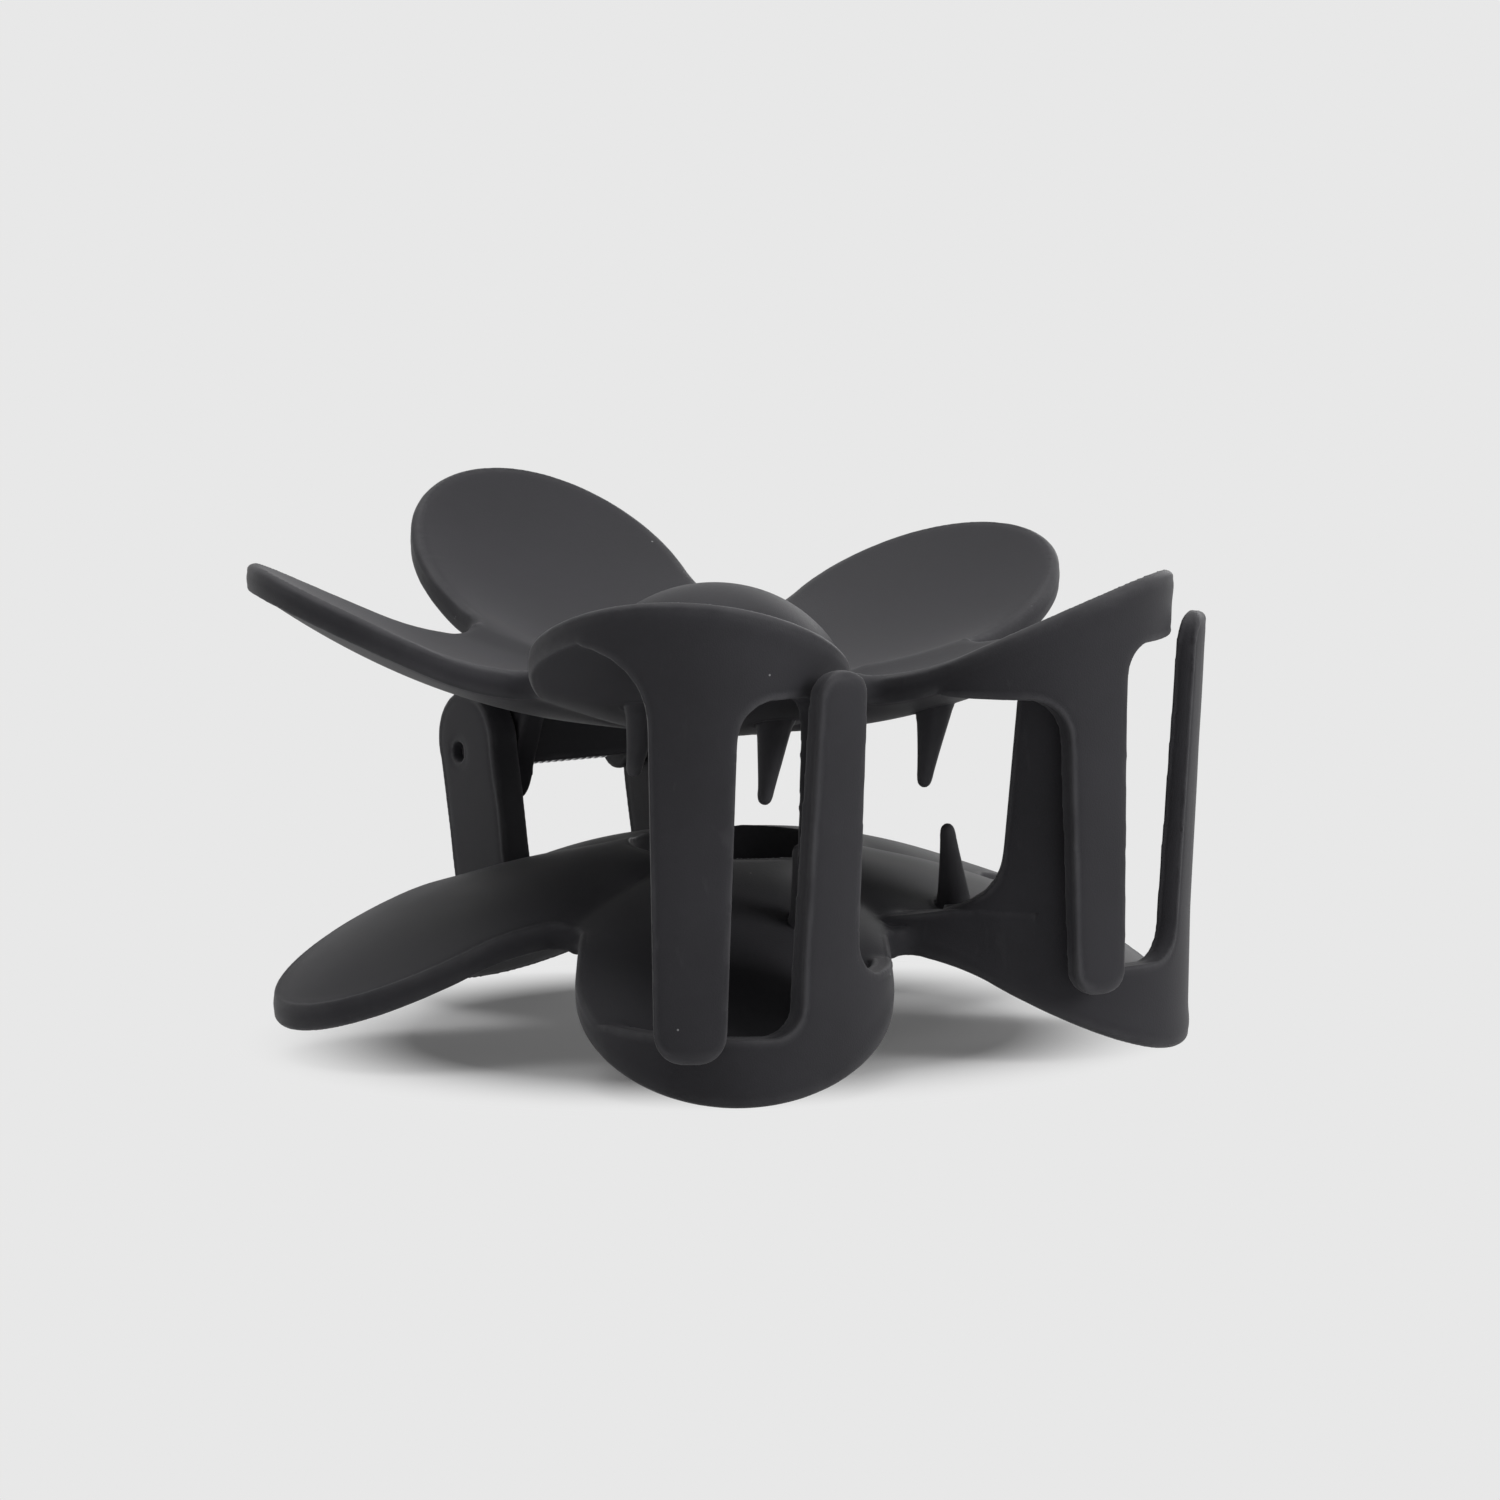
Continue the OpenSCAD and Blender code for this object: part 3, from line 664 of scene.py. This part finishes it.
# %% [markdown]
# ### Wrapping and thinning
# The solid is loose triangles, so a copy of it is merged first. Remesh then lays the squares: its Sharp mode
# keeps edges straight that the other modes leave jagged. More than a million triangles come out, most of them
# on flat places, and Decimate takes these away first.

# %% Skins of both jaws
solid_weld = 0.001 * mm
skin_depth = 9
skin_scale = 0.99
skin_sharpness = 1.0
most_triangles = 180000


def wrapped_solid(node):
    """A node's solid in the flower's own frame, wrapped in small squares."""
    mesh = frame["nodes"][node].data.copy()
    mesh.transform(places[node].inverted())
    merge = bmesh.new()
    merge.from_mesh(mesh)
    bmesh.ops.remove_doubles(merge, verts=merge.verts, dist=solid_weld)
    merge.to_mesh(mesh)
    merge.free()
    mesh.materials.clear()
    wrap = bpy.data.objects.new(node + "_wrap", mesh)
    bpy.context.scene.collection.objects.link(wrap)
    squares = wrap.modifiers.new("squares", "REMESH")
    squares.mode = "SHARP"
    squares.octree_depth = skin_depth
    squares.scale = skin_scale
    squares.sharpness = skin_sharpness
    squares.use_remove_disconnected = False
    wrapped = plain_mesh(wrap)
    bpy.data.objects.remove(wrap)
    return wrapped


def jaw_skin(node, body):
    piece = run_tree(tree, skin_sizes, node + "_skin", wrapped_solid(node))
    full = triangles(piece)
    thin = piece.modifiers.new("thin", "DECIMATE")
    thin.ratio = min(1, most_triangles / full)
    thinned = plain_mesh(piece)
    piece.modifiers.clear()
    piece.data = thinned
    thinned.name = piece.name
    thinned.transform(places[node])
    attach(piece, body)
    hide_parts(node)
    print(piece.name, full, "triangles, thinned to", triangles(piece))


jaw_skin("upper_jaw", "upper")
jaw_skin("lower_jaw", "lower")
bpy.data.objects.remove(flower)

# %% [markdown]
# ## Steel
# The spring is drawn steel wire, bright with fine lines along it, and the pin is plain ground steel that has
# gone a little dull. Both are metals, so what shows is mostly roughness: fine noise, stretched, breaks it up.

# %% Spring steel and pin steel
def new_steel(name, pale, dark, rough_low, rough_high, line_scale):
    """Steel with fine lines along one axis and a faint haze."""
    material, tree, shader, coords = new_material(name)
    lines_way = add(tree, "ShaderNodeMapping", {"Vector": coords, "Scale": line_scale})
    lines = add(tree, "ShaderNodeTexNoise", {"Vector": lines_way.outputs[0], "Scale": 1.0, "Detail": 4.0})
    haze = add(tree, "ShaderNodeTexNoise", {"Vector": coords, "Scale": 900.0, "Detail": 3.0})
    tone = mixed(tree, spread(tree, haze.outputs["Fac"], low=0.35, high=0.65), dark, pale)
    tree.links.new(tone, shader.inputs["Base Color"])
    dull = spread(tree, lines.outputs["Fac"], low=0.3, high=0.7, to_low=rough_low, to_high=rough_high)
    tree.links.new(dull, shader.inputs["Roughness"])
    bump = add(tree, "ShaderNodeBump", {
        "Height": lines.outputs["Fac"], "Strength": 0.2, "Distance": 0.01 * mm})
    tree.links.new(bump.outputs[0], shader.inputs["Normal"])
    shader.inputs["Metallic"].default_value = 1.0
    return material


wire_steel = new_steel("spring_wire_steel", pale=(0.52, 0.52, 0.53, 1), dark=(0.36, 0.36, 0.37, 1),
                       rough_low=0.22, rough_high=0.40, line_scale=(900.0, 9000.0, 9000.0))
pin_steel = new_steel("hinge_pin_steel", pale=(0.30, 0.30, 0.31, 1), dark=(0.19, 0.19, 0.20, 1),
                      rough_low=0.30, rough_high=0.48, line_scale=(500.0, 8000.0, 8000.0))
print("steels:", wire_steel.name, pin_steel.name)

# %% [markdown]
# ## The torsion spring
# One wire: a straight leg, close curls round the pin, and a second straight leg. It follows a path, so
# Geometry Nodes draw it: a line of points takes its place from the point's number, becomes a curve, and gets
# a round section. The solid's curls stand open, and a real spring is wound closer, so the same length holds
# more curls here.

# %% Spring tree
spring_sizes = {
    "Wire": 0.62 * mm,
    "Curl gap": 0.11 * mm,
    "Curls": 12,
    "Curl round": 1.36 * mm,
    "Leg length": 14.7 * mm,
    "Leg angle": math.radians(65),
    "Hinge distance": hinge_y,
    "Points": 640,
    "Sides": 16,
}
tree, size, source = new_tree("torsion_spring", spring_sizes)
points = add(tree, "GeometryNodeMeshLine", {"Count": size["Points"]})
first_turn = 1.5 * math.pi - size["Leg angle"]
sweep = first_turn * 2 - 2 * math.pi + size["Curls"] * (2 * math.pi)
coil_long = sweep * size["Curl round"]
number = Formula(add(tree, "GeometryNodeInputIndex").outputs[0])
along = number / (size["Points"] - 1) * (coil_long + size["Leg length"] * 2) - size["Leg length"]
coil_share = smaller(larger(along / coil_long, 0), 1)
first_leg = larger(0 - along, 0)
last_leg = larger(along - coil_long, 0)
coil_turn = first_turn - sweep * coil_share
coil_half = (size["Wire"] + size["Curl gap"]) * sweep / (4 * math.pi)
leg_y = (first_leg + last_leg) * cos(size["Leg angle"])
leg_z = (last_leg - first_leg) * sin(size["Leg angle"])
wire_spot = add(tree, "ShaderNodeCombineXYZ", {
    "X": coil_half * (coil_share * 2 - 1),
    "Y": size["Hinge distance"] + size["Curl round"] * cos(coil_turn) + leg_y,
    "Z": size["Curl round"] * sin(coil_turn) + leg_z})
bent = add(tree, "GeometryNodeSetPosition", {"Geometry": points.outputs[0], "Position": wire_spot.outputs[0]})
wire = add(tree, "GeometryNodeMeshToCurve", {0: bent.outputs[0]})
section = add(tree, "GeometryNodeCurvePrimitiveCircle", {
    "Resolution": size["Sides"], "Radius": size["Wire"] / 2})
tube = add(tree, "GeometryNodeCurveToMesh", {
    "Curve": wire.outputs[0], "Profile Curve": section.outputs[0], "Fill Caps": True})
smooth = add(tree, "GeometryNodeSetShadeSmooth", {"Geometry": tube.outputs[0]})
real = add(tree, "GeometryNodeRealizeInstances", {0: smooth.outputs[0]})
dressed = add(tree, "GeometryNodeSetMaterial", {"Geometry": real.outputs[0], "Material": wire_steel})
add(tree, "NodeGroupOutput", {0: dressed.outputs[0]})
print("spring tree:", len(tree.nodes), "nodes")

# %% Spring in place
spring = run_tree(tree, spring_sizes, "torsion_spring_wire")
spring.data.transform(lay)
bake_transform(spring)
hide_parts("torsion_spring")
print("spring:", triangles(spring), "triangles")

# %% [markdown]
# ## The hinge pin
# A short round pin whose ends lie a little inside the outer lugs. It is turned from a profile: a flat end, a
# rounded corner and a long straight side. The corner matters, because the ends are all that shows of it.

# %% Pin profile
pin_low, pin_high = (Vector(corner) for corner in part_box("hinge_pin"))
pin_middle = (pin_low + pin_high) / 2
pin_half = (pin_high.x - pin_low.x) / 2
pin_round = (pin_high.z - pin_low.z) / 2
corner_round = 0.2 * mm
corner_steps = 6

profile = []
for k in range(corner_steps + 1):
    a = math.pi / 2 * k / corner_steps
    x = -pin_half + corner_round * (1 - math.cos(a))
    far = pin_round - corner_round * (1 - math.sin(a))
    profile.append((x, far))
profile += [(-x, far) for x, far in reversed(profile)]
print("pin profile:", len(profile), "points, half length", round(pin_half / mm, 2), "mm")

# %% Turned pin
pin_sides = 64

lathe = bmesh.new()
rings = []
for x, far in profile:
    ring = []
    for k in range(pin_sides):
        a = 2 * math.pi * k / pin_sides
        ring.append(lathe.verts.new(pin_middle + Vector((x, far * math.cos(a), far * math.sin(a)))))
    rings.append(ring)
for first, second in zip(rings, rings[1:]):
    for k in range(pin_sides):
        n = (k + 1) % pin_sides
        lathe.faces.new((first[k], first[n], second[n], second[k])).smooth = True
lathe.faces.new(rings[0])
lathe.faces.new(rings[-1])
bmesh.ops.recalc_face_normals(lathe, faces=lathe.faces)
pin_mesh = bpy.data.meshes.new("hinge_pin_turned")
lathe.to_mesh(pin_mesh)
lathe.free()
pin_mesh.materials.append(pin_steel)
pin = bpy.data.objects.new("hinge_pin_turned", pin_mesh)
bpy.context.scene.collection.objects.link(pin)
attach(pin, "lower")
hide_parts("hinge_pin")
print("pin:", triangles(pin), "triangles")

# %% [markdown]
# ## Floor and background
# The clip lies on white paper that fades into a flat pale grey. Near the clip the floor is a real surface and
# takes its shadow, eased a little so that it is no darker than in the photograph. Further out it turns into
# plain grey, the same as the world shows behind it, so there is no horizon from any side.

# %% Floor
backdrop_grey = (0.807, 0.807, 0.807, 1)
paper_white = (0.93, 0.93, 0.93, 1)
floor_half = 8.0
fade_from = 0.022
fade_to = 0.042
shadow_ease = 0.12


def most(tree, a, b):
    return add(tree, "ShaderNodeMath", {0: a, 1: b}, operation="MAXIMUM").outputs[0]


paper, tree, shader, coords = new_material("paper_floor")
shader.inputs["Base Color"].default_value = paper_white
shader.inputs["Roughness"].default_value = 0.9
shader.inputs["Specular IOR Level"].default_value = 0.1
far = add(tree, "ShaderNodeVectorMath", {0: coords}, operation="LENGTH").outputs["Value"]
fade = most(tree, eased(tree, far, fade_from, fade_to), shadow_ease)
plain = add(tree, "ShaderNodeEmission", {"Color": backdrop_grey})
ray = add(tree, "ShaderNodeLightPath").outputs
seen = most(tree, ray["Is Camera Ray"], ray["Is Glossy Ray"])
joined = add(tree, "ShaderNodeMixShader", {
    0: times(tree, fade, seen), 1: shader.outputs[0], 2: plain.outputs[0]})
tree.links.new(joined.outputs[0], tree.nodes["Material Output"].inputs["Surface"])

floor_mesh = bpy.data.meshes.new("floor")
floor_mesh.from_pydata([(-floor_half, -floor_half, 0), (floor_half, -floor_half, 0),
                        (floor_half, floor_half, 0), (-floor_half, floor_half, 0)], [], [(0, 1, 2, 3)])
floor_mesh.materials.append(paper)
floor = bpy.data.objects.new("floor", floor_mesh)
bpy.context.scene.collection.objects.link(floor)
print("floor fades from", fade_from, "to", fade_to, "m")

# %% [markdown]
# ## Light
# One broad soft light from above, a second from the front right, a weak third from behind on the right, which
# catches the outer sides of the prongs, and a dim even light from all round, so that the insides stay dark.
# The camera sees plain grey behind the clip, and so do mirror rays: a dull plastic mirrors its surroundings
# where it is seen at a slant, which is why the dishes and the petals' edges come out paler than the fronts.

# %% World
round_strength = 0.12

world = bpy.data.worlds.new("studio")
bpy.context.scene.world = world
world.use_nodes = True
tree = world.node_tree
tree.nodes.clear()
ray = add(tree, "ShaderNodeLightPath").outputs
seen = most(tree, most(tree, ray["Is Camera Ray"], ray["Is Transmission Ray"]), ray["Is Glossy Ray"])
round_light = add(tree, "ShaderNodeBackground", {"Color": (1, 1, 1, 1), "Strength": round_strength})
behind = add(tree, "ShaderNodeBackground", {"Color": backdrop_grey, "Strength": 1.0})
sky = add(tree, "ShaderNodeMixShader", {0: seen, 1: round_light.outputs[0], 2: behind.outputs[0]})
add(tree, "ShaderNodeOutputWorld", {"Surface": sky.outputs[0]})
print("world:", len(tree.nodes), "nodes")

# %% Lamps
lamp_aim = Vector((0, 0, 0.02))


def soft_lamp(name, spot, wide, power):
    """A square soft light at a place, facing the clip."""
    lamp = bpy.data.lights.new(name, "AREA")
    lamp.size = wide
    lamp.energy = power
    holder = bpy.data.objects.new(name, lamp)
    holder.location = spot
    holder.rotation_euler = (lamp_aim - Vector(spot)).to_track_quat("-Z", "Y").to_euler()
    bpy.context.scene.collection.objects.link(holder)


soft_lamp("top_light", spot=(0.0, 0.05, 0.8), wide=0.8, power=5.0)
soft_lamp("right_light", spot=(0.45, -0.75, 0.4), wide=0.5, power=4.4)
soft_lamp("side_light", spot=(0.75, 0.45, 0.3), wide=0.4, power=1.2)
bpy.context.scene.view_settings.view_transform = "Standard"
